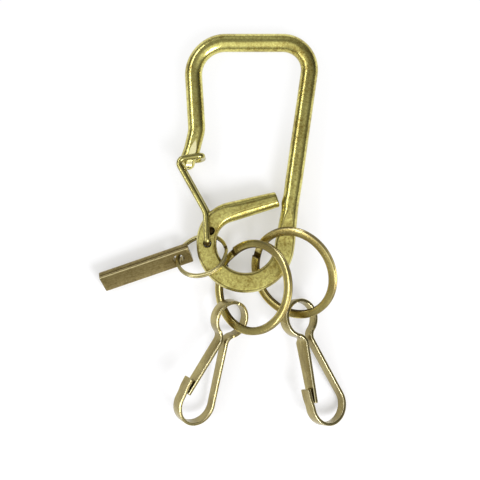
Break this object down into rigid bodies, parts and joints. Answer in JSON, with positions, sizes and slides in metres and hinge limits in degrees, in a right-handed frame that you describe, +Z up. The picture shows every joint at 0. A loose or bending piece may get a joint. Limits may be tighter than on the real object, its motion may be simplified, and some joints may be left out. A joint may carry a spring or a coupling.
{
  "type": "belt key clip",
  "caption": "Bent brass belt hook with a sprung wire gate, split key rings with snap hooks, and a bar tag on a small split ring.",
  "frame": {"origin": "middle of the straight belt bar, on its axis, with the clip lying on a surface 2.65 mm below", "axes": "+Z up from the surface, +Y from the rings towards the belt bar, +X to the right along the bar"},
  "size_m": [0.0798, 0.1258, 0.0203],
  "materials": {
    "frame_brass": "satin, lightly aged",
    "wire_brass": "drawn wire, satin",
    "ring_brass": "polished, lightly aged",
    "strip_brass": "brushed along the strip",
    "tag_brass": "brushed, aged"
  },
  "bodies": {
    "frame": {"frame_rod": "frame_brass"},
    "gate_front": {"gate_wire_front": "wire_brass"},
    "gate_back": {"gate_wire_back": "wire_brass"},
    "tag_ring": {"tag_ring": "ring_brass"},
    "tag": {"bar_tag": "tag_brass"},
    "key_ring_1": {"key_ring_1": "ring_brass"},
    "hook_1": {"snap_hook_1": "strip_brass"},
    "tongue_1": {"snap_tongue_1": "strip_brass"},
    "key_ring_2": {"key_ring_2": "ring_brass"},
    "hook_2": {"snap_hook_2": "strip_brass"},
    "tongue_2": {"snap_tongue_2": "strip_brass"}
  },
  "joints": [
    {"name": "gate_front_swing", "type": "hinge", "parent": "frame", "child": "gate_front", "pos_m": [-0.01491, -0.06479, 0.00452], "axis": [0, 0.0696, 0.9976], "range_deg": [-24, 0], "stiffness_Nm_per_rad": 0.006, "springref_deg": 8.59},
    {"name": "gate_back_swing", "type": "hinge", "parent": "frame", "child": "gate_back", "pos_m": [-0.01381, -0.0608, 0.00424], "axis": [0, 0.0696, 0.9976], "range_deg": [-28.4, 0], "stiffness_Nm_per_rad": 0.006, "springref_deg": 8.59},
    {"name": "tag_ring_swing", "type": "hinge", "parent": "frame", "child": "tag_ring", "pos_m": [-0.0149, -0.0665, 0.0046], "axis": [-0.512, 0.7041, 0.492], "range_deg": [0, 60]},
    {"name": "tag_swing", "type": "hinge", "parent": "tag_ring", "child": "tag", "pos_m": [-0.0246, -0.069, 0.0013], "axis": [-0.1799, 0.7456, -0.6417], "range_deg": [0, 60]},
    {"name": "key_ring_1_swing", "type": "hinge", "parent": "frame", "child": "key_ring_1", "pos_m": [0.0035, -0.0748, 0.0052], "axis": [-0.6992, -0.2351, 0.6752], "range_deg": [0, 45]},
    {"name": "hook_1_swing", "type": "hinge", "parent": "key_ring_1", "child": "hook_1", "pos_m": [-0.0075, -0.0885, 0.0026], "axis": [-0.564, 0.038, -0.8249], "range_deg": [0, 60]},
    {"name": "tongue_1_flex", "type": "hinge", "parent": "hook_1", "child": "tongue_1", "pos_m": [-0.01177, -0.09579, 0.00373], "axis": [0.5361, -0.169, 0.8271], "range_deg": [0, 14], "stiffness_Nm_per_rad": 0.02, "springref_deg": -5.73},
    {"name": "key_ring_2_swing", "type": "hinge", "parent": "frame", "child": "key_ring_2", "pos_m": [0.0088, -0.064, 0.0046], "axis": [-0.4142, -0.8293, 0.3751], "range_deg": [0, 20]},
    {"name": "hook_2_swing", "type": "hinge", "parent": "key_ring_2", "child": "hook_2", "pos_m": [0.0142, -0.0885, 0.0036], "axis": [-0.7851, -0.118, -0.6081], "range_deg": [0, 25]},
    {"name": "tongue_2_flex", "type": "hinge", "parent": "hook_2", "child": "tongue_2", "pos_m": [0.01576, -0.09637, 0.00446], "axis": [0.5072, 0.1124, 0.8545], "range_deg": [0, 14], "stiffness_Nm_per_rad": 0.02, "springref_deg": -5.73}
  ],
  "couplings": [
    {"joint": "gate_back_swing", "follows": "gate_front_swing", "ratio": 1.1627}
  ]
}
